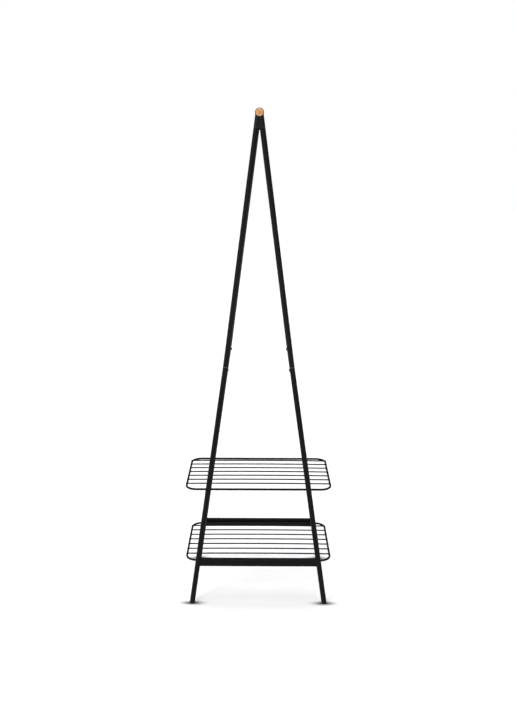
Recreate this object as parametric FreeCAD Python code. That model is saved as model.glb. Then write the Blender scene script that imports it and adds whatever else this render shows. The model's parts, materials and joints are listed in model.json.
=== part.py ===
import FreeCAD, Part
import math
import os

from FreeCAD import Vector

# A two-shelf A-frame clothes rack. Units are millimetres.
# +Z is up and the origin is on the floor, under the middle of the rack. X runs across the
# A-frames and Y along the hanging rod. The front A-frame is on the -Y side, left is -X.

# Overall
HEIGHT = 1900.0                 # floor to the top of the bracket rings
FRAME_SPACING = 361.0           # between the centre planes of the two A-frames
SHELF_WIDTH = 567.5             # across X, over the rim rods

# Centreline of a leg, as height and half the spread between the two legs of one A-frame
FLOOR_HALF_SPREAD = 256.0
JOINT_HEIGHT = 933.0
JOINT_HALF_SPREAD = 125.5
SEAM_HEIGHT = 1832.0            # where the tubes meet the top brackets
SEAM_HALF_SPREAD = 11.5

# Leg tubes
TUBE_RADIUS = 10.0
TUBE_WALL = 1.0
TUBE_BORE = TUBE_RADIUS - TUBE_WALL
END_CHAMFER = 0.7
JOINT_GAP = 0.3                 # from the joint's centre to each tube end
FIT = 0.05                      # radial clearance of parts that slide together

# Feet
FOOT_HEIGHT = 28.0
FOOT_PLUG_LENGTH = 24.0
FOOT_CHAMFER = 1.2

# Sleeve and bolt in each leg joint
SLEEVE_WALL = 2.5
SLEEVE_REACH = 38.0
BOLT_DROP = 10.0                # from the joint down to the bolt, along the leg
BOLT_RADIUS = 3.0
BOLT_REACH = 7.5                # shank length from the tube's surface inwards
BOLT_HEAD_RADIUS = 5.5
BOLT_HEAD_HEIGHT = 2.6
BOLT_SOCKET = 4.0               # across the flats of the hexagon
SADDLE_RADIUS = 6.0
SADDLE_CREST = 0.7              # washer thickness at the top of the tube

# Hanging rod
ROD_RADIUS = 14.0
ROD_LENGTH = 403.0
ROD_CHAMFER = 2.0

# Top brackets
COLLAR_RADIUS = 16.5
COLLAR_OUTER_END = 193.5        # distance of the collar's outer face from the middle of the rack
COLLAR_INNER_END = 148.5
ROD_HEIGHT = HEIGHT - COLLAR_RADIUS
WEB_HALF_DEPTH = 9.0
WEB_LIFT = 3.0                  # web's lower edge above the seam
STUB_LENGTH = 42.0
BRACKET_FILLET = 2.0
BOSS_RADIUS = 6.0
BOSS_DROP = 2.6                 # boss face below the collar
ROD_SCREW_OFFSET = 157.0        # distance of the rod screws from the middle of the rack
ROD_SCREW_RADIUS = 2.0
ROD_SCREW_LENGTH = 17.0
ROD_SCREW_HEAD_RADIUS = 4.0
ROD_SCREW_HEAD_HEIGHT = 2.8
GRUB_RADIUS = 2.5
GRUB_DROP = 20.0                # from the seam down to the grub screw, along the leg
GRUB_DEPTH = 4.0
GRUB_SOCKET = 2.5

# Crossbars
BAR_HEIGHT = 28.5
BAR_DEPTH = 15.0
BAR_WALL = 1.2
BAR_CORNER = 2.0
BAR_CENTRE_HEIGHT = 165.0
WELD_LEG = 3.0

# Shelves
UPPER_SHELF_HEIGHT = 450.0      # of the rim rod's centreline
LOWER_SHELF_HEIGHT = 165.5
RIM_RADIUS = 4.0
RIM_CORNER = 40.0
RIM_HALF_DEPTH = 166.2
RIM_HALF_WIDTH = SHELF_WIDTH / 2 - RIM_RADIUS
WIRE_COUNT = 7
WIRE_RADIUS = 2.5
WIRE_CROWN = 1.5                # rise of a wire at mid-length
WIRE_END_INSET = 1.0            # wire end inside the rim's outer face

# Shelf tabs and their fasteners
TAB_THICKNESS = 3.0
TAB_HALF_WIDTH = 8.0
TAB_HOLE_DROP = 12.0            # hole below the rim's centreline
TAB_OFFSET = 166.2              # distance of the tab's middle plane from the middle of the rack
SCREW_RADIUS = 2.5
SCREW_LENGTH = 12.0
SCREW_HEAD_RADIUS = 4.75
SCREW_HEAD_HEIGHT = 2.75
SCREW_SOCKET = 3.0
RIVET_NUT_RADIUS = 3.5
RIVET_NUT_LENGTH = 9.0
RIVET_FLANGE_RADIUS = 5.5

SIDES = {"left": -1, "right": 1}
ENDS = {"front": -1, "rear": 1}
UP = Vector(0, 0, 1)
ALONG_ROD = Vector(0, 1, 0)


def save(name, solids):
    """Write one sub-part, given as a shape or as a list of separate solids."""
    shape = Part.makeCompound(solids) if isinstance(solids, list) else solids
    shape.exportStep(os.path.join("parts", name + ".step"))
    print(name, len(shape.Solids), "solids,", round(shape.Volume), "mm3")


# ---------------------------------------------------------------- leg geometry

def frame_plane(end):
    return end * FRAME_SPACING / 2


def foot_point(side, end):
    return Vector(side * FLOOR_HALF_SPREAD, frame_plane(end), 0)


def joint_point(side, end):
    return Vector(side * JOINT_HALF_SPREAD, frame_plane(end), JOINT_HEIGHT)


def seam_point(side, end):
    return Vector(side * SEAM_HALF_SPREAD, frame_plane(end), SEAM_HEIGHT)


def lower_direction(side):
    """Unit vector up the lower leg."""
    return (joint_point(side, 1) - foot_point(side, 1)).normalize()


def upper_direction(side):
    """Unit vector up the upper leg."""
    return (seam_point(side, 1) - joint_point(side, 1)).normalize()


def lower_leg_at(side, end, height):
    """Point on the lower leg's centreline at a height."""
    direction = lower_direction(side)
    return foot_point(side, end) + direction * (height / direction.z)


def inward_normal(side):
    """Unit vector square to the lower leg, in the A-frame's plane, towards the other leg."""
    direction = lower_direction(side)
    return Vector(-side * direction.z, 0, side * direction.x)


# ---------------------------------------------------------------- shape helpers

def chamfer_circles(shape, centres, radius, size):
    """Chamfer the circular edges of one radius around the given centres."""
    edges = [
        edge for edge in shape.Edges
        if isinstance(edge.Curve, Part.Circle)
        and abs(edge.Curve.Radius - radius) < 1e-4
        and any(edge.Curve.Center.distanceToPoint(centre) < 1e-3 for centre in centres)
    ]
    return shape.makeChamfer(size, edges)


def tube(start, finish):
    """Hollow leg tube between two points, with its outer end edges broken."""
    direction = finish - start
    outer = Part.makeCylinder(TUBE_RADIUS, direction.Length, start, direction)
    outer = chamfer_circles(outer, [start, finish], TUBE_RADIUS, END_CHAMFER)
    return outer.cut(Part.makeCylinder(TUBE_BORE, direction.Length, start, direction))


def hexagon_recess(base, direction, across_flats, depth):
    """Hexagonal socket that opens at base and runs along direction."""
    corner_radius = across_flats / math.sqrt(3)
    rotation = FreeCAD.Rotation(UP, direction)
    corners = [
        base + rotation.multVec(Vector(
            corner_radius * math.cos(math.radians(60 * i)),
            corner_radius * math.sin(math.radians(60 * i)),
            0,
        ))
        for i in range(7)
    ]
    return Part.Face(Part.makePolygon(corners)).extrude(direction * depth)


def button_head_screw(seat, direction, shank, head, socket):
    """Screw with a domed head. The head sits on seat and the shank runs along direction.

    shank and head are (radius, length) pairs.
    """
    shank_radius, shank_length = shank
    head_radius, head_height = head
    top_radius = head_radius * 0.45
    profile = Part.Wire([
        Part.LineSegment(Vector(0, 0, 0), Vector(head_radius, 0, 0)).toShape(),
        Part.Arc(
            Vector(head_radius, 0, 0),
            Vector(head_radius * 0.86, 0, head_height * 0.66),
            Vector(top_radius, 0, head_height),
        ).toShape(),
        Part.LineSegment(Vector(top_radius, 0, head_height), Vector(0, 0, head_height)).toShape(),
        Part.LineSegment(Vector(0, 0, head_height), Vector(0, 0, 0)).toShape(),
    ])
    dome = Part.Face(profile).revolve(Vector(0, 0, 0), UP, 360)
    dome.Placement = FreeCAD.Placement(seat, FreeCAD.Rotation(UP, direction * -1))
    body = dome.fuse(Part.makeCylinder(shank_radius, shank_length, seat, direction))
    recess = hexagon_recess(seat - direction * head_height, direction, socket, head_height * 0.6)
    return body.cut(recess).removeSplitter()


# ---------------------------------------------------------------- leg tubes and feet

def upper_leg(side, end):
    direction = upper_direction(side)
    seam = seam_point(side, end)
    leg = tube(joint_point(side, end) + direction * JOINT_GAP, seam)
    grub_axis_start = seam - direction * GRUB_DROP
    grub_hole = Part.makeCylinder(GRUB_RADIUS + FIT, TUBE_RADIUS + 1, grub_axis_start, ALONG_ROD * -end)
    return leg.cut(grub_hole)


def lower_leg(side, end):
    direction = lower_direction(side)
    joint = joint_point(side, end)
    leg = tube(lower_leg_at(side, end, FOOT_HEIGHT), joint - direction * JOINT_GAP)
    bolt_hole = Part.makeCylinder(
        BOLT_RADIUS + FIT, TUBE_RADIUS + 1, joint - direction * BOLT_DROP, inward_normal(side))
    leg = leg.cut(bolt_hole)
    for shelf_height in (LOWER_SHELF_HEIGHT, UPPER_SHELF_HEIGHT):
        centre = lower_leg_at(side, end, shelf_height - TAB_HOLE_DROP)
        leg = leg.cut(Part.makeCylinder(
            RIVET_NUT_RADIUS + FIT, TUBE_RADIUS + 1, centre, ALONG_ROD * -end))
    return leg


def foot(side, end):
    """Moulded foot: a plug inside the tube and a flush block cut level with the floor."""
    direction = lower_direction(side)
    seam = lower_leg_at(side, end, FOOT_HEIGHT)
    block = Part.makeCylinder(TUBE_RADIUS, FOOT_HEIGHT * 1.5, seam, direction * -1)
    block = chamfer_circles(block, [seam], TUBE_RADIUS, END_CHAMFER)
    below_floor = Part.makeBox(100, 100, 100, Vector(seam.x - 50, seam.y - 50, -100))
    block = block.cut(below_floor)
    sole_edges = [edge for edge in block.Edges if edge.BoundBox.ZMax < 1e-3]
    block = block.makeChamfer(FOOT_CHAMFER, sole_edges)
    plug_radius = TUBE_BORE - FIT
    plug = Part.makeCylinder(plug_radius, FOOT_PLUG_LENGTH, seam, direction)
    plug = chamfer_circles(plug, [seam + direction * FOOT_PLUG_LENGTH], plug_radius, 1.0)
    return block.fuse(plug)


# ---------------------------------------------------------------- leg joints

def joint_sleeve(side, end):
    """Thick-walled sleeve inside both tubes.

    It follows the upper tube. Its lower half tapers, because the lower tube leaves at a slightly
    different angle.
    """
    joint = joint_point(side, end)
    up = upper_direction(side)
    down = up * -1
    radius = TUBE_BORE - FIT
    tip_radius = radius - SLEEVE_REACH * math.sin(up.getAngle(lower_direction(side)))
    outer = Part.makeCylinder(radius, SLEEVE_REACH, joint, up)
    outer = outer.fuse(Part.makeCone(radius, tip_radius, SLEEVE_REACH, joint, down))
    bore = Part.makeCylinder(radius - SLEEVE_WALL, 2 * SLEEVE_REACH, joint + down * SLEEVE_REACH, up)
    bolt_centre = joint - lower_direction(side) * BOLT_DROP
    tapped_hole = Part.makeCylinder(BOLT_RADIUS + FIT, TUBE_RADIUS, bolt_centre, inward_normal(side))
    return outer.cut(bore).cut(tapped_hole)


def saddle_washer(side, end):
    """Round washer whose underside is hollowed to the leg tube."""
    direction = lower_direction(side)
    normal = inward_normal(side)
    centre = joint_point(side, end) - direction * BOLT_DROP
    disc = Part.makeCylinder(SADDLE_RADIUS, TUBE_RADIUS + SADDLE_CREST, centre, normal)
    leg = Part.makeCylinder(
        TUBE_RADIUS, 4 * SADDLE_RADIUS, centre - direction * 2 * SADDLE_RADIUS, direction)
    hole = Part.makeCylinder(BOLT_RADIUS + FIT, 2 * TUBE_RADIUS, centre, normal)
    return disc.cut(leg).cut(hole)


def joint_bolt(side, end):
    normal = inward_normal(side)
    centre = joint_point(side, end) - lower_direction(side) * BOLT_DROP
    seat = centre + normal * (TUBE_RADIUS + SADDLE_CREST)
    shank = (BOLT_RADIUS, SADDLE_CREST + BOLT_REACH)
    head = (BOLT_HEAD_RADIUS, BOLT_HEAD_HEIGHT)
    return button_head_screw(seat, normal * -1, shank, head, BOLT_SOCKET)


# ---------------------------------------------------------------- crossbars

def rounded_rectangle(half_depth, half_height, corner, x):
    """Closed wire in the plane of one X, centred on the crossbars' own axis."""
    face = Part.makeBox(1, 2 * half_depth, 2 * half_height, Vector(x, -half_depth, -half_height))
    long_edges = [edge for edge in face.Edges if abs(edge.BoundBox.XLength - 1) < 1e-6]
    rounded = face.makeFillet(corner, long_edges)
    flat = [f for f in rounded.Faces if f.BoundBox.XMax < x + 1e-6]
    return flat[0].OuterWire


def bar_prism(inset, end):
    """Solid bar of the crossbar's section, less inset all round, from leg centre to leg centre."""
    reach = lower_leg_at(1, end, BAR_CENTRE_HEIGHT).x
    outline = rounded_rectangle(
        BAR_DEPTH / 2 - inset, BAR_HEIGHT / 2 - inset, BAR_CORNER - inset, -reach)
    bar = Part.Face(outline).extrude(Vector(2 * reach, 0, 0))
    bar.translate(Vector(0, frame_plane(end), BAR_CENTRE_HEIGHT))
    return bar


def leg_core(side, end, radius):
    """Solid cylinder on the lower leg's centreline, past both faces of the crossbar."""
    start = lower_leg_at(side, end, BAR_CENTRE_HEIGHT - 2 * BAR_HEIGHT)
    return Part.makeCylinder(radius, 4 * BAR_HEIGHT, start, lower_direction(side))


def crossbar(end):
    """Rectangular tube, coped at both ends to the round legs."""
    bar = bar_prism(0, end).cut(bar_prism(BAR_WALL, end))
    for side in SIDES.values():
        bar = bar.cut(leg_core(side, end, TUBE_RADIUS))
    return bar


def crossbar_weld(side, end):
    """Concave weld bead in the corner between a crossbar's outside and a leg."""
    leg = leg_core(side, end, TUBE_RADIUS)
    bar = bar_prism(0, end)
    joined = leg.fuse(bar)
    corner_edges = [
        edge for edge in joined.Edges
        if edge.BoundBox.Center.x * side > BAR_HEIGHT
        and abs(edge.BoundBox.Center.z - BAR_CENTRE_HEIGHT) < BAR_HEIGHT / 2 + 0.1
        and edge.BoundBox.ZLength < BAR_HEIGHT
    ]
    return joined.makeFillet(WELD_LEG, corner_edges).cut(leg).cut(bar)


# ---------------------------------------------------------------- top brackets and rod

def bracket_web(end):
    """Flat web that fills the wedge between the two legs, up to the rod's centre."""
    slope = (JOINT_HALF_SPREAD - SEAM_HALF_SPREAD) / (SEAM_HEIGHT - JOINT_HEIGHT)
    low = SEAM_HEIGHT + WEB_LIFT
    low_half = SEAM_HALF_SPREAD - slope * WEB_LIFT
    high_half = SEAM_HALF_SPREAD - slope * (ROD_HEIGHT - SEAM_HEIGHT)
    front = frame_plane(end) - WEB_HALF_DEPTH
    outline = Part.makePolygon([
        Vector(-low_half, front, low),
        Vector(low_half, front, low),
        Vector(high_half, front, ROD_HEIGHT),
        Vector(-high_half, front, ROD_HEIGHT),
        Vector(-low_half, front, low),
    ])
    return Part.Face(outline).extrude(ALONG_ROD * 2 * WEB_HALF_DEPTH)


def bracket_socket(side, end):
    """Shoulder flush with the leg tube, from the seam up to the rod's centre height."""
    seam = seam_point(side, end)
    direction = upper_direction(side)
    length = (ROD_HEIGHT - SEAM_HEIGHT) / direction.z
    shoulder = Part.makeCylinder(TUBE_RADIUS, length, seam, direction)
    return chamfer_circles(shoulder, [seam], TUBE_RADIUS, END_CHAMFER)


def bracket_stub(side, end):
    """Stub inside the leg tube, with a seat for the grub screw."""
    seam = seam_point(side, end)
    down = upper_direction(side) * -1
    radius = TUBE_BORE - FIT
    stub = Part.makeCylinder(radius, STUB_LENGTH, seam, down)
    stub = chamfer_circles(stub, [seam + down * STUB_LENGTH], radius, 1.0)
    seat_depth = TUBE_RADIUS - GRUB_DEPTH
    seat_start = seam + down * GRUB_DROP - ALONG_ROD * end * seat_depth
    return stub.cut(Part.makeCylinder(GRUB_RADIUS + FIT, TUBE_RADIUS, seat_start, ALONG_ROD * -end))


def rod_screw_axis(end):
    """Point under the bracket's boss where the rod screw's head seats."""
    boss_face = ROD_HEIGHT - COLLAR_RADIUS - BOSS_DROP
    return Vector(0, end * ROD_SCREW_OFFSET, boss_face)


def collar_corner_edges(shape):
    """Edges where the wedge and the boss run into the outside of the collar."""
    def in_corner(edge):
        samples = edge.discretize(5)
        on_collar = all(
            abs(math.hypot(point.x, point.z - ROD_HEIGHT) - COLLAR_RADIUS) < 0.01 for point in samples)
        between_ends = all(
            COLLAR_INNER_END + 1 < abs(point.y) < COLLAR_OUTER_END - 1 for point in samples)
        return on_collar and between_ends
    return [edge for edge in shape.Edges if in_corner(edge)]


def top_bracket(end):
    """Collar around the rod, wedge below it and two stubs that plug into the legs."""
    axis_start = Vector(0, end * COLLAR_INNER_END, ROD_HEIGHT)
    axis_end = Vector(0, end * COLLAR_OUTER_END, ROD_HEIGHT)
    length = COLLAR_OUTER_END - COLLAR_INNER_END
    collar = Part.makeCylinder(COLLAR_RADIUS, length, axis_start, ALONG_ROD * end)
    collar = chamfer_circles(collar, [axis_start, axis_end], COLLAR_RADIUS, END_CHAMFER)
    screw_seat = rod_screw_axis(end)
    boss = Part.makeCylinder(BOSS_RADIUS, ROD_HEIGHT - screw_seat.z, screw_seat, UP)
    boss = chamfer_circles(boss, [screw_seat], BOSS_RADIUS, END_CHAMFER)
    outside = collar.multiFuse([
        bracket_web(end),
        bracket_socket(-1, end),
        bracket_socket(1, end),
        boss,
    ])
    outside = outside.makeFillet(BRACKET_FILLET, collar_corner_edges(outside))
    bore = Part.makeCylinder(ROD_RADIUS + FIT, length, axis_start, ALONG_ROD * end)
    screw_hole = Part.makeCylinder(ROD_SCREW_RADIUS + 0.2, BOSS_RADIUS, screw_seat, UP)
    hollowed = outside.cut(bore).cut(screw_hole)
    return hollowed.fuse([bracket_stub(-1, end), bracket_stub(1, end)])


def hanging_rod():
    start = Vector(0, -ROD_LENGTH / 2, ROD_HEIGHT)
    finish = Vector(0, ROD_LENGTH / 2, ROD_HEIGHT)
    rod = Part.makeCylinder(ROD_RADIUS, ROD_LENGTH, start, ALONG_ROD)
    rod = chamfer_circles(rod, [start, finish], ROD_RADIUS, ROD_CHAMFER)
    for end in ENDS.values():
        pilot_radius = ROD_SCREW_RADIUS + FIT
        rod = rod.cut(Part.makeCylinder(pilot_radius, ROD_SCREW_LENGTH + 1, rod_screw_axis(end), UP))
    return rod


def rod_screw(end):
    seat = rod_screw_axis(end)
    shank = (ROD_SCREW_RADIUS, ROD_SCREW_LENGTH)
    head = (ROD_SCREW_HEAD_RADIUS, ROD_SCREW_HEAD_HEIGHT)
    return button_head_screw(seat, UP, shank, head, SCREW_SOCKET)


def grub_screw(side, end):
    """Headless set screw, flush with the leg tube on the side that faces the other A-frame."""
    inward = ALONG_ROD * -end
    centre = seam_point(side, end) - upper_direction(side) * GRUB_DROP
    inner_face = centre + inward * (TUBE_RADIUS - GRUB_DEPTH)
    outer_face = centre + inward * TUBE_RADIUS
    screw = Part.makeCylinder(GRUB_RADIUS, GRUB_DEPTH, inner_face, inward)
    recess = hexagon_recess(outer_face, inward * -1, GRUB_SOCKET, GRUB_DEPTH * 0.6)
    return screw.cut(recess)


# ---------------------------------------------------------------- shelves

def shelf_rim(height):
    """Round rod bent to a rounded rectangle and welded closed."""
    straight_x = RIM_HALF_WIDTH - RIM_CORNER
    straight_y = RIM_HALF_DEPTH - RIM_CORNER
    pieces = []
    for sign in (-1, 1):
        pieces.append(Part.makeCylinder(
            RIM_RADIUS, 2 * straight_x,
            Vector(-straight_x, sign * RIM_HALF_DEPTH, height), Vector(1, 0, 0)))
        pieces.append(Part.makeCylinder(
            RIM_RADIUS, 2 * straight_y,
            Vector(sign * RIM_HALF_WIDTH, -straight_y, height), ALONG_ROD))
    corner_signs = [(1, 1), (-1, 1), (-1, -1), (1, -1)]
    for quarter, (sign_x, sign_y) in enumerate(corner_signs):
        bend = Part.makeTorus(RIM_CORNER, RIM_RADIUS, Vector(0, 0, 0), UP, 0, 360, 90)
        bend.rotate(Vector(0, 0, 0), UP, 90 * quarter)
        bend.translate(Vector(sign_x * straight_x, sign_y * straight_y, height))
        pieces.append(bend)
    return pieces[0].multiFuse(pieces[1:])


def shelf_wire(y, height):
    """One thin wire from side rod to side rod, slightly crowned, resting on the rim."""
    half_length = RIM_HALF_WIDTH + RIM_RADIUS - WIRE_END_INSET
    base = height + RIM_RADIUS + WIRE_RADIUS
    start = Vector(-half_length, y, base)
    crown = Vector(0, y, base + WIRE_CROWN)
    finish = Vector(half_length, y, base)
    path = Part.Wire([Part.Arc(start, crown, finish).toShape()])
    tangent = path.Edges[0].tangentAt(path.Edges[0].FirstParameter)
    section = Part.Wire([Part.makeCircle(WIRE_RADIUS, start, tangent)])
    return path.makePipeShell([section], True, True)


def shelf_wires(height):
    pitch = 2 * RIM_HALF_DEPTH / (WIRE_COUNT + 1)
    first = -pitch * (WIRE_COUNT - 1) / 2
    return [shelf_wire(first + i * pitch, height) for i in range(WIRE_COUNT)]


def tab_hole_centre(side, end, height):
    """Middle of a shelf tab's hole, in front of the leg that it is fastened to."""
    centre = lower_leg_at(side, end, height - TAB_HOLE_DROP)
    return Vector(centre.x, end * TAB_OFFSET, centre.z)


def shelf_tab(side, end, height):
    """Round-ended plate that meets the underside of the rim rod, drilled for the shelf screw."""
    hole = tab_hole_centre(side, end, height)
    back = Vector(hole.x, hole.y - TAB_THICKNESS / 2, hole.z)
    plate = Part.makeBox(
        2 * TAB_HALF_WIDTH, TAB_THICKNESS, TAB_HOLE_DROP - RIM_RADIUS,
        back - Vector(TAB_HALF_WIDTH, 0, 0))
    plate = plate.fuse(Part.makeCylinder(TAB_HALF_WIDTH, TAB_THICKNESS, back, ALONG_ROD))
    screw_hole = Part.makeCylinder(SCREW_RADIUS + 0.25, TAB_THICKNESS, back, ALONG_ROD)
    return plate.cut(screw_hole).removeSplitter()


def shelf_screw(side, end, height):
    outward = ALONG_ROD * end
    seat = tab_hole_centre(side, end, height) - outward * (TAB_THICKNESS / 2)
    shank = (SCREW_RADIUS, SCREW_LENGTH)
    head = (SCREW_HEAD_RADIUS, SCREW_HEAD_HEIGHT)
    return button_head_screw(seat, outward, shank, head, SCREW_SOCKET)


def shelf_rivet_nut(side, end, height):
    """Flanged threaded insert in the leg's inner face, between the leg and the shelf tab."""
    outward = ALONG_ROD * end
    face = tab_hole_centre(side, end, height) + outward * (TAB_THICKNESS / 2)
    leg_start = lower_leg_at(side, end, height - 3 * TAB_HOLE_DROP)
    leg = Part.makeCylinder(TUBE_RADIUS, 4 * TAB_HOLE_DROP, leg_start, lower_direction(side))
    flange = Part.makeCylinder(RIVET_FLANGE_RADIUS, TUBE_RADIUS, face, outward).cut(leg)
    barrel = Part.makeCylinder(RIVET_NUT_RADIUS, RIVET_NUT_LENGTH, face, outward)
    thread = Part.makeCylinder(SCREW_RADIUS + FIT, RIVET_NUT_LENGTH, face, outward)
    flange_parts = [part for part in flange.Solids if part.BoundBox.Center.y * end < frame_plane(1)]
    return flange_parts[0].fuse(barrel).cut(thread)


# ---------------------------------------------------------------- the whole rack

def every_leg(make):
    """One solid for each of the four legs."""
    return [make(side, end) for end in ENDS.values() for side in SIDES.values()]


def build_frames():
    for end_name, end in ENDS.items():
        for side_name, side in SIDES.items():
            prefix = end_name + "_" + side_name + "_"
            save(prefix + "upper_leg", upper_leg(side, end))
            save(prefix + "lower_leg", lower_leg(side, end))
            save(prefix + "joint_sleeve", joint_sleeve(side, end))
            save(prefix + "foot", foot(side, end))
            save(prefix + "crossbar_weld", crossbar_weld(side, end))
        save(end_name + "_crossbar", crossbar(end))
        save(end_name + "_top_bracket", top_bracket(end))
    save("joint_bolts", every_leg(joint_bolt))
    save("joint_saddle_washers", every_leg(saddle_washer))
    save("bracket_grub_screws", every_leg(grub_screw))


def build_rod():
    save("hanging_rod", hanging_rod())
    save("rod_screws", [rod_screw(end) for end in ENDS.values()])


def build_shelf(name, height):
    save(name + "_rim", shelf_rim(height))
    save(name + "_wires", shelf_wires(height))
    save(name + "_tabs", every_leg(lambda side, end: shelf_tab(side, end, height)))
    save(name + "_screws", every_leg(lambda side, end: shelf_screw(side, end, height)))
    save(name + "_rivet_nuts", every_leg(lambda side, end: shelf_rivet_nut(side, end, height)))


os.makedirs("parts", exist_ok=True)
build_frames()
build_rod()
build_shelf("upper_shelf", UPPER_SHELF_HEIGHT)
build_shelf("lower_shelf", LOWER_SHELF_HEIGHT)
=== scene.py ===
"""Looks, camera and light for the two-shelf A-frame clothes rack. Units are metres."""

import json
import math

import bmesh
import bpy
from mathutils import Matrix, Vector


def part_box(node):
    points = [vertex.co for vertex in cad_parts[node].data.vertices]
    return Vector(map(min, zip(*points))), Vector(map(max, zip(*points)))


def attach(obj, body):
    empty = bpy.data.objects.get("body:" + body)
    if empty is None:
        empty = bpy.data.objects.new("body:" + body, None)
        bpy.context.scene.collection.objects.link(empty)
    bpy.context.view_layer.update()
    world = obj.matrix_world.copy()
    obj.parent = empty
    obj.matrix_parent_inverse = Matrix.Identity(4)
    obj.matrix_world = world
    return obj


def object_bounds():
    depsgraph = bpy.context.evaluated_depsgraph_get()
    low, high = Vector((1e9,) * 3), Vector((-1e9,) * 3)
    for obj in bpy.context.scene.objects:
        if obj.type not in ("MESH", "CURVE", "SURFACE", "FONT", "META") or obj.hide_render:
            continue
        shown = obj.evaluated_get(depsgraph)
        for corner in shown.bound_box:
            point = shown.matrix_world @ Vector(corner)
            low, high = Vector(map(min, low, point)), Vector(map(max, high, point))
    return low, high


# Camera
CAMERA_POSITION = (0.0057, -3.2101, 1.6895)
CAMERA_YAW = -0.00326           # radians, to the right of +Y
CAMERA_PITCH = math.radians(5.8)
CAMERA_ROLL = 0.0027            # radians
CAMERA_LENS = 41.316            # mm, on a 36 mm long side
CAMERA_SHIFT = -0.15136

# As the CAD has them
WIRE_COUNT = 7                  # on each shelf
SEAM_HEIGHT = 1.832             # between the leg tubes and the top brackets

# Finishes
SEAM_HIGHLIGHT_DROP = 0.0012          # middle of the painted highlight band at the tube ends, below the seam
PITH_OFFSET = (0.0006, -0.0016)  # centre of the rod's growth rings from its axis, in X and Z
RING_WIDTH = 0.0019             # of one growth ring

# Welds: half sizes across X, along Y and up Z
SPOT_WELD = (0.0024, 0.0027, 0.0012)
TAB_BEAD = (0.0017, 0.0011, 0.0012)
BEADS_PER_TAB_FACE = 7
WELD_UNEVENNESS = 0.07
WELD_RIPPLE = (2900, 2500, 3300)  # radians per metre along X, Y and Z

# Stage
FLOOR_RADIUS = 30.0
BACKDROP_RADIUS = 29.0
BACKDROP_HEIGHT = 60.0
ROUND_SEGMENTS = 96             # on the floor's and the backdrop's circles
FLOOR_DROP = 0.0002             # floor below the feet, so that the two faces don't coincide
CONTACT_ACROSS = 0.040          # half width of the contact shade at a foot
CONTACT_ALONG = 0.013           # half depth of the contact shade
CONTACT_SHADE = 0.97
POOL_SHADE = 0.14
UNDER_RACK_GLOW = 0.09

# Lights
OVERHEAD_POWER = 2.7
OVERHEAD_ANGLE = math.radians(60)
OVERHEAD_TILT = (math.radians(6), math.radians(-8), 0)
KEY_POSITION = (-2.6, -3.2, 2.6)
KEY_TARGET = (0, 0, 1.0)
KEY_SIZE = 1.6
KEY_POWER = 45.0
WORLD_STRENGTH = 0.38

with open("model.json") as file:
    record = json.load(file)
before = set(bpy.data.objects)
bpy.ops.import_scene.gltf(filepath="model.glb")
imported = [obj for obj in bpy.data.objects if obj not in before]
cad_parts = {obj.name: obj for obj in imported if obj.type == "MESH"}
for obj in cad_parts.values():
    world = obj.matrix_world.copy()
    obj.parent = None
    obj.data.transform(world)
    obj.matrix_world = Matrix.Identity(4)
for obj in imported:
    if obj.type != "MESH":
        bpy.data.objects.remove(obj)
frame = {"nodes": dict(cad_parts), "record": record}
cad_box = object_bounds()
record = frame["record"]
nodes = frame["nodes"]


# ---------------------------------------------------------------- node helpers

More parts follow.
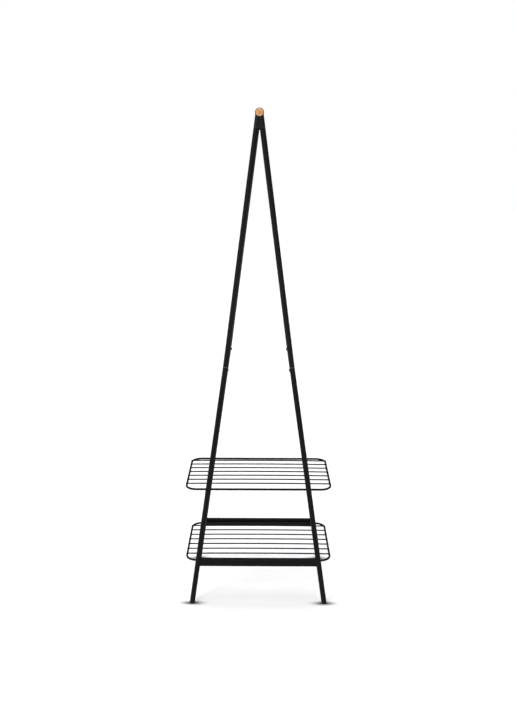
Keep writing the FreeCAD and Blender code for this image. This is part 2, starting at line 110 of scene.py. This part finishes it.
class Graph:
    """A material's node tree, with short calls to add and link nodes."""

    def __init__(self, name):
        self.material = bpy.data.materials.new(name)
        self.material.use_nodes = True
        self.tree = self.material.node_tree
        self.tree.nodes.clear()
        self.output = self.tree.nodes.new("ShaderNodeOutputMaterial")
        self.coords = self.tree.nodes.new("ShaderNodeTexCoord").outputs["Object"]

    def set(self, socket, value):
        if isinstance(value, bpy.types.NodeSocket):
            self.tree.links.new(value, socket)
        else:
            socket.default_value = value

    def math(self, operation, *values):
        node = self.tree.nodes.new("ShaderNodeMath")
        node.operation = operation
        for socket, value in zip(node.inputs, values):
            self.set(socket, value)
        return node.outputs[0]

    def vector_math(self, operation, *values):
        node = self.tree.nodes.new("ShaderNodeVectorMath")
        node.operation = operation
        for socket, value in zip(node.inputs, values):
            self.set(socket, value)
        return node.outputs["Value" if operation == "LENGTH" else "Vector"]

    def stretch(self, scale):
        """Object coordinates, scaled along each axis."""
        return self.vector_math("MULTIPLY", self.coords, scale)

    def noise(self, scale, detail=2.0, roughness=0.5, vector=None):
        node = self.tree.nodes.new("ShaderNodeTexNoise")
        self.set(node.inputs["Vector"], self.coords if vector is None else vector)
        self.set(node.inputs["Scale"], scale)
        self.set(node.inputs["Detail"], detail)
        self.set(node.inputs["Roughness"], roughness)
        return node.outputs["Fac"]

    def voronoi(self, scale, vector=None):
        node = self.tree.nodes.new("ShaderNodeTexVoronoi")
        self.set(node.inputs["Vector"], self.coords if vector is None else vector)
        self.set(node.inputs["Scale"], scale)
        return node.outputs["Distance"]

    def remap(self, value, low, high, to_low=0.0, to_high=1.0, smooth=False):
        node = self.tree.nodes.new("ShaderNodeMapRange")
        if smooth:
            node.interpolation_type = "SMOOTHSTEP"
        for name, part in (("Value", value), ("From Min", low), ("From Max", high),
                           ("To Min", to_low), ("To Max", to_high)):
            self.set(node.inputs[name], part)
        return node.outputs["Result"]

    def mix(self, factor, first, second):
        node = self.tree.nodes.new("ShaderNodeMix")
        node.data_type = "RGBA"
        self.set(node.inputs["Factor"], factor)
        colours = [socket for socket in node.inputs if socket.type == "RGBA"]
        self.set(colours[0], opaque(first))
        self.set(colours[1], opaque(second))
        return next(socket for socket in node.outputs if socket.type == "RGBA")

    def axis(self, index):
        node = self.tree.nodes.new("ShaderNodeSeparateXYZ")
        self.set(node.inputs[0], self.coords)
        return node.outputs[index]

    def bump(self, height, strength, distance, normal=None):
        node = self.tree.nodes.new("ShaderNodeBump")
        self.set(node.inputs["Height"], height)
        self.set(node.inputs["Strength"], strength)
        self.set(node.inputs["Distance"], distance)
        if normal is not None:
            self.set(node.inputs["Normal"], normal)
        return node.outputs["Normal"]

    def finish(self, **inputs):
        shader = self.tree.nodes.new("ShaderNodeBsdfPrincipled")
        for name, value in inputs.items():
            self.set(shader.inputs[name.replace("_", " ")], opaque(value))
        self.tree.links.new(shader.outputs[0], self.output.inputs["Surface"])
        return self.material


def opaque(value):
    """A three-part colour with full alpha added. Anything else is returned as it is."""
    return (*value, 1.0) if isinstance(value, tuple) and len(value) == 3 else value


# ---------------------------------------------------------------- materials

def powder_coat():
    """Satin black powder coat: fine orange peel, dust, a painted highlight band at the tube ends below
    the seam, painted shade that lowers the gloss towards the floor, scuffs near the floor.
    """
    g = Graph("powder_coat")
    cloud = g.noise(7.0, detail=4.0, roughness=0.6)
    tone = g.mix(cloud, (0.0030, 0.0030, 0.0033), (0.0054, 0.0054, 0.0058))
    dust = g.remap(g.noise(420.0, detail=3.0, roughness=0.7), 0.64, 0.78, 0.0, 0.35)
    tone = g.mix(dust, tone, (0.022, 0.0215, 0.021))
    # painted highlight: a lighter band round the tube ends just below the seam, standing in for light
    # caught on the edge there
    from_seam = g.math("ABSOLUTE", g.math("SUBTRACT", g.axis(2), SEAM_HEIGHT - SEAM_HIGHLIGHT_DROP))
    painted_seam_highlight = g.remap(from_seam, 0.0026, 0.0004, 0.0, 0.8, smooth=True)
    tone = g.mix(painted_seam_highlight, tone, (0.040, 0.040, 0.040))
    near_floor = g.remap(g.axis(2), 0.12, 0.0, smooth=True)
    scuff_marks = g.remap(
        g.noise(90.0, detail=5.0, roughness=0.7, vector=g.stretch((3.0, 3.0, 0.6))), 0.55, 0.7)
    tone = g.mix(g.math("MULTIPLY", near_floor, g.math("MULTIPLY", scuff_marks, 0.5)),
                 tone, (0.045, 0.043, 0.040))
    rough = g.remap(g.noise(38.0, detail=4.0, roughness=0.65), 0.3, 0.7, 0.40, 0.54)
    # painted shade: the specular level drops towards the lower legs so that they render darker, as if
    # shaded
    painted_shade_gloss = g.remap(g.axis(2), 0.70, 1.10, 0.085, 0.13, smooth=True)
    peel = g.bump(g.noise(1100.0, detail=2.0), 0.22, 0.0002)
    grain = g.bump(g.voronoi(2600.0), 0.10, 0.0001, normal=peel)
    return g.finish(Base_Color=tone, Roughness=rough, Specular_IOR_Level=painted_shade_gloss, Normal=grain)


def moulding():
    """Black nylon with a fine spark-eroded texture."""
    g = Graph("moulding")
    tone = g.mix(g.noise(25.0, detail=3.0), (0.0052, 0.0055, 0.0078), (0.0078, 0.0081, 0.0108))
    rough = g.remap(g.noise(160.0, detail=3.0), 0.3, 0.7, 0.34, 0.46)
    texture = g.bump(g.voronoi(1900.0), 0.22, 0.00012)
    flow = g.bump(g.noise(60.0, detail=1.0), 0.05, 0.0006, normal=texture)
    return g.finish(Base_Color=tone, Roughness=rough, Specular_IOR_Level=0.15, Normal=flow)


def foot_moulding():
    """Matt foot moulding, scuffed and dusty towards the sole."""
    g = Graph("foot_moulding")
    tone = g.mix(g.noise(60.0, detail=4.0), (0.0048, 0.0048, 0.0051), (0.0080, 0.0080, 0.0083))
    sole = g.remap(g.axis(2), 0.012, 0.0, smooth=True)
    dust = g.remap(g.noise(240.0, detail=5.0, roughness=0.7), 0.45, 0.65)
    tone = g.mix(g.math("MULTIPLY", sole, g.math("MULTIPLY", dust, 0.55)), tone, (0.11, 0.105, 0.095))
    rough = g.remap(g.noise(220.0, detail=2.0), 0.3, 0.7, 0.55, 0.72)
    texture = g.bump(g.voronoi(1300.0), 0.30, 0.00015)
    return g.finish(Base_Color=tone, Roughness=rough, Specular_IOR_Level=0.12, Normal=texture)


def black_oxide():
    """Black oxide on steel: slightly mottled, a little shinier than the powder coat."""
    g = Graph("black_oxide")
    tone = g.mix(g.noise(300.0, detail=4.0, roughness=0.7), (0.016, 0.016, 0.018), (0.034, 0.033, 0.034))
    rough = g.remap(g.noise(520.0, detail=3.0), 0.3, 0.7, 0.30, 0.46)
    turning = g.bump(g.noise(1500.0, detail=2.0), 0.15, 0.0001)
    return g.finish(Base_Color=tone, Roughness=rough, Metallic=0.55, Normal=turning)


def zinc_plate():
    """Bright zinc plating with faint drawing lines and clouding."""
    g = Graph("zinc_plate")
    tone = g.mix(g.noise(120.0, detail=4.0, roughness=0.65), (0.46, 0.46, 0.44), (0.62, 0.62, 0.60))
    rough = g.remap(g.noise(200.0, detail=3.0), 0.3, 0.7, 0.26, 0.42)
    lines = g.bump(g.noise(900.0, vector=g.stretch((4.0, 4.0, 0.3))), 0.18, 0.0001)
    return g.finish(Base_Color=tone, Roughness=rough, Metallic=1.0, Normal=lines)


def beech(rod_axis_height):
    """Oiled beech: growth rings around a pith near the rod's axis, pores and flecks along the grain."""
    g = Graph("beech")
    pith = (PITH_OFFSET[0], 0.0, rod_axis_height + PITH_OFFSET[1])
    centred = g.vector_math("SUBTRACT", g.coords, pith)
    wander = g.vector_math("MULTIPLY", centred, (60.0, 3.0, 60.0))
    wobble = g.noise(1.0, detail=3.0, vector=wander)
    across = g.vector_math("MULTIPLY", centred, (1.0, 0.0, 1.0))
    radius = g.math("ADD", g.vector_math("LENGTH", across), g.math("MULTIPLY", wobble, 0.0035))
    ring_phase = g.math("FRACT", g.math("DIVIDE", radius, RING_WIDTH))
    late_wood = g.remap(ring_phase, 0.55, 1.0, smooth=True)
    heart = g.remap(radius, 0.0125, 0.003, smooth=True)
    tone = g.mix(heart, (0.69, 0.375, 0.170), (0.50, 0.222, 0.078))
    tone = g.mix(g.math("MULTIPLY", late_wood, 0.38), tone, (0.43, 0.195, 0.072))
    streaks = g.noise(1.0, detail=5.0, roughness=0.6, vector=g.stretch((900.0, 14.0, 900.0)))
    tone = g.mix(g.remap(streaks, 0.35, 0.75, 0.0, 0.34), tone, (0.47, 0.225, 0.090))
    flecks = g.remap(g.noise(1.0, detail=1.0, vector=g.stretch((1500.0, 170.0, 520.0))), 0.66, 0.74)
    tone = g.mix(g.math("MULTIPLY", flecks, 0.40), tone, (0.36, 0.155, 0.058))
    pores = g.remap(g.voronoi(1.0, vector=g.stretch((3200.0, 60.0, 3200.0))), 0.0, 0.35, 1.0, 0.0)
    rough = g.remap(streaks, 0.3, 0.7, 0.42, 0.60)
    normal = g.bump(g.math("ADD", g.math("MULTIPLY", pores, -0.6), late_wood), 0.16, 0.00018)
    return g.finish(Base_Color=tone, Roughness=rough, Specular_IOR_Level=0.35, Normal=normal)


def box_of(piece_name):
    low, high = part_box(piece_name)
    return Vector(low), Vector(high)


rod_low, rod_high = box_of("hanging_rod")
FINISHES = {
    "black_coated_steel": powder_coat(),
    "black_moulding": moulding(),
    "black_foot_moulding": foot_moulding(),
    "black_hardware": black_oxide(),
    "plated_steel": zinc_plate(),
    "beech": beech((rod_low.z + rod_high.z) / 2),
}
for subpart in record["subparts"]:
    slots = nodes[subpart["node"]].data.materials
    slots.clear()
    slots.append(FINISHES[subpart["material_slot"]])


# ---------------------------------------------------------------- weld details

def lumpy(point, centre, amount, phase):
    """Push a point of a weld away from or towards its centre, so that the surface is uneven."""
    along_x, along_y, along_z = (value * rate for value, rate in zip(point, WELD_RIPPLE))
    ripple = math.sin(along_x + phase) * math.cos(along_y - phase) + math.sin(along_z)
    return centre + (point - centre) * (1 + amount * ripple)


def add_blob(mesh, centre, radii, phase, segments=14, rings=9):
    """Add an uneven ellipsoid to a bmesh."""
    made = bmesh.ops.create_uvsphere(mesh, u_segments=segments, v_segments=rings, radius=1.0)
    for vertex in made["verts"]:
        scaled = Vector((vertex.co.x * radii[0], vertex.co.y * radii[1], vertex.co.z * radii[2]))
        vertex.co = lumpy(centre + scaled, centre, WELD_UNEVENNESS, phase)


def add_piece(name, mesh, slot):
    """Make an object of a bmesh, with a slot's finish, fixed to the rack."""
    data = bpy.data.meshes.new(name)
    mesh.to_mesh(data)
    mesh.free()
    for polygon in data.polygons:
        polygon.use_smooth = True
    data.materials.append(FINISHES[slot])
    piece = bpy.data.objects.new(name, data)
    bpy.context.scene.collection.objects.link(piece)
    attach(piece, "root")


def spot_welds(shelf):
    """The small flattened nuggets where each wire is welded down on the rim's side rods."""
    low, high = box_of(shelf + "_rim")
    rod_radius = (high.z - low.z) / 2
    side = high.x - rod_radius
    pitch = (high.y - low.y - 2 * rod_radius) / (WIRE_COUNT + 1)
    mesh = bmesh.new()
    for index in range(WIRE_COUNT):
        y = (index - (WIRE_COUNT - 1) / 2) * pitch
        for sign in (-1, 1):
            centre = Vector((sign * side, y, high.z - 0.0001))
            add_blob(mesh, centre, SPOT_WELD, index * 1.7 + sign)
    add_piece(shelf + "_spot_welds", mesh, "black_coated_steel")


def tab_welds(shelf):
    """A short bead on both faces of each tab, under the rim rod."""
    rim_low, rim_high = box_of(shelf + "_rim")
    rod_radius = (rim_high.z - rim_low.z) / 2
    corners = [v.co for v in nodes[shelf + "_tabs"].data.vertices]
    mesh = bmesh.new()
    for sign_x in (-1, 1):
        for sign_y in (-1, 1):
            own = [c for c in corners if c.x * sign_x > 0 and c.y * sign_y > 0]
            left = min(c.x for c in own)
            right = max(c.x for c in own)
            faces = (min(c.y for c in own), max(c.y for c in own))
            for face, away in zip(faces, (-1, 1)):
                for step in range(BEADS_PER_TAB_FACE):
                    x = left + (right - left) * (step + 0.5) / BEADS_PER_TAB_FACE
                    centre = Vector((x, face + away * 0.0006, rim_low.z + 0.35 * rod_radius - 0.0006))
                    add_blob(mesh, centre, TAB_BEAD, step * 2.1 + face * 50, segments=10, rings=7)
    add_piece(shelf + "_tab_welds", mesh, "black_coated_steel")


for shelf_name in ("upper_shelf", "lower_shelf"):
    spot_welds(shelf_name)
    tab_welds(shelf_name)


# ---------------------------------------------------------------- floor

def floor_material(foot_x, foot_y):
    """Pale floor, with a soft contact shade under each foot and a faint pool between the front feet.

    It glows faintly under the rack, which cancels the shelves' own soft shadow. Margins are in metres.
    """
    g = Graph("pale_floor")
    across = g.math("SUBTRACT", g.math("ABSOLUTE", g.axis(0)), foot_x)
    along = g.math("SUBTRACT", g.math("ABSOLUTE", g.axis(1)), foot_y + 0.003)
    spread = g.math("ADD", g.math("POWER", g.math("DIVIDE", across, CONTACT_ACROSS), 2.0),
                    g.math("POWER", g.math("DIVIDE", along, CONTACT_ALONG), 2.0))
    shade = g.math("POWER", math.e, g.math("MULTIPLY", g.math("POWER", spread, 1.15), -1.0))
    between = g.remap(g.math("ABSOLUTE", g.axis(0)), foot_x + 0.02, foot_x - 0.10, smooth=True)
    behind = g.remap(g.axis(1), 0.02, -foot_y - 0.01)
    before = g.remap(g.axis(1), -foot_y - 0.085, -foot_y - 0.02, smooth=True)
    pool = g.math("MULTIPLY", between, g.math("MULTIPLY", behind, before))
    tone = g.mix(g.math("MULTIPLY", pool, POOL_SHADE), (0.93, 0.93, 0.93), (0.45, 0.45, 0.45))
    tone = g.mix(g.math("MULTIPLY", shade, CONTACT_SHADE), tone, (0.02, 0.02, 0.02))
    under = g.math("MULTIPLY", g.remap(g.axis(1), -foot_y - 0.01, -foot_y + 0.08),
                   g.remap(g.vector_math("LENGTH", g.coords), 0.60, 0.25, smooth=True))
    glow = g.math("MULTIPLY", under, UNDER_RACK_GLOW)
    return g.finish(Base_Color=tone, Roughness=0.7, Specular_IOR_Level=0.1,
                    Emission_Color=(1, 1, 1), Emission_Strength=glow)


def backdrop_material():
    """Plain white light."""
    g = Graph("backdrop")
    return g.finish(Base_Color=(0, 0, 0), Emission_Color=(1, 1, 1), Emission_Strength=1.0,
                    Specular_IOR_Level=0.0)


def add_backdrop():
    """White wall all round, far off. Only the camera sees it, so it adds no light."""
    mesh = bmesh.new()
    bmesh.ops.create_cone(mesh, cap_ends=False, segments=ROUND_SEGMENTS, radius1=BACKDROP_RADIUS,
                          radius2=BACKDROP_RADIUS, depth=BACKDROP_HEIGHT)
    data = bpy.data.meshes.new("backdrop")
    mesh.to_mesh(data)
    mesh.free()
    data.materials.append(backdrop_material())
    wall = bpy.data.objects.new("backdrop", data)
    bpy.context.scene.collection.objects.link(wall)
    wall.visible_diffuse = False
    wall.visible_glossy = False
    wall.visible_transmission = False
    wall.visible_shadow = False


def add_floor():
    mesh = bmesh.new()
    bmesh.ops.create_circle(mesh, cap_ends=True, segments=ROUND_SEGMENTS, radius=FLOOR_RADIUS)
    data = bpy.data.meshes.new("floor")
    mesh.to_mesh(data)
    mesh.free()
    foot_low, foot_high = box_of("front_left_foot")
    sole_x = abs(foot_low.x) - (foot_high.y - foot_low.y) / 2
    sole_y = abs(foot_low.y + foot_high.y) / 2
    data.materials.append(floor_material(sole_x, sole_y))
    floor = bpy.data.objects.new("floor", data)
    floor.location.z = cad_box[0][2] - FLOOR_DROP
    bpy.context.scene.collection.objects.link(floor)


add_floor()
add_backdrop()


# ---------------------------------------------------------------- light and camera

def add_overhead_light():
    """Very soft light from above."""
    data = bpy.data.lights.new("overhead", "SUN")
    data.energy = OVERHEAD_POWER
    data.angle = OVERHEAD_ANGLE
    light = bpy.data.objects.new("overhead", data)
    light.rotation_euler = OVERHEAD_TILT
    bpy.context.scene.collection.objects.link(light)


def add_key_light():
    """Round softbox, in front and to the left."""
    data = bpy.data.lights.new("key", "AREA")
    data.shape = "DISK"
    data.size = KEY_SIZE
    data.energy = KEY_POWER
    light = bpy.data.objects.new("key", data)
    light.location = KEY_POSITION
    aim = Vector(KEY_TARGET) - Vector(KEY_POSITION)
    light.rotation_euler = aim.to_track_quat("-Z", "Y").to_euler()
    bpy.context.scene.collection.objects.link(light)


add_overhead_light()
add_key_light()

world = bpy.data.worlds.new("studio")
world.use_nodes = True
world.node_tree.nodes["Background"].inputs["Color"].default_value = (1, 1, 1, 1)
world.node_tree.nodes["Background"].inputs["Strength"].default_value = WORLD_STRENGTH
scene = bpy.context.scene
scene.world = world
scene.view_settings.view_transform = "Standard"

camera_data = bpy.data.cameras.new("camera")
camera_data.lens = CAMERA_LENS
camera_data.sensor_width = 36.0
camera_data.shift_y = CAMERA_SHIFT
camera_data.clip_end = 200.0
camera = bpy.data.objects.new("camera", camera_data)
camera.matrix_world = (
    Matrix.Translation(CAMERA_POSITION)
    @ Matrix.Rotation(-CAMERA_YAW, 4, "Z")
    @ Matrix.Rotation(math.pi / 2 - CAMERA_PITCH, 4, "X")
    @ Matrix.Rotation(CAMERA_ROLL, 4, "Z")
)
scene.collection.objects.link(camera)
scene.camera = camera
